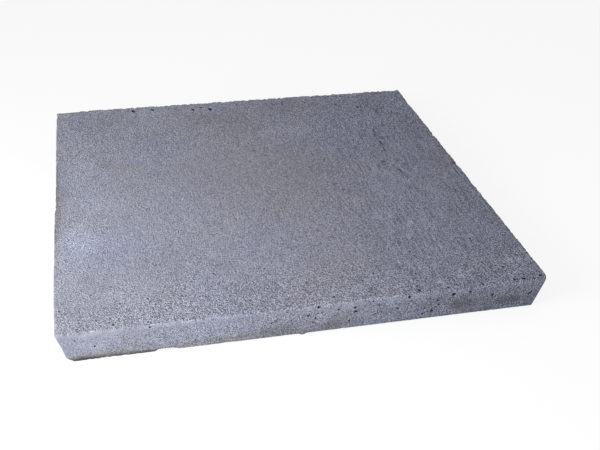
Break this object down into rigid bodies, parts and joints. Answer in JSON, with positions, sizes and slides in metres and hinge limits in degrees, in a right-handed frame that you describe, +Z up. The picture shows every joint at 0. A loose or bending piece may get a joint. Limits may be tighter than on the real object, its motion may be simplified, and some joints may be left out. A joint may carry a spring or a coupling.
{
  "type": "equipment pad",
  "caption": "Square precast concrete slab with drafted sides, rolled top edges and worn, chipped arrises, laid flat on the ground to carry an outdoor air-conditioning or heat-pump unit.",
  "frame": {"origin": "middle of the underside, on the ground", "axes": "+X to the right along the front edge, +Y to the back, +Z up through the top face"},
  "size_m": [0.8128, 0.8128, 0.0667],
  "materials": {
    "concrete": "matte"
  },
  "bodies": {
    "root": {"pad_slab": "concrete"}
  },
  "joints": []
}
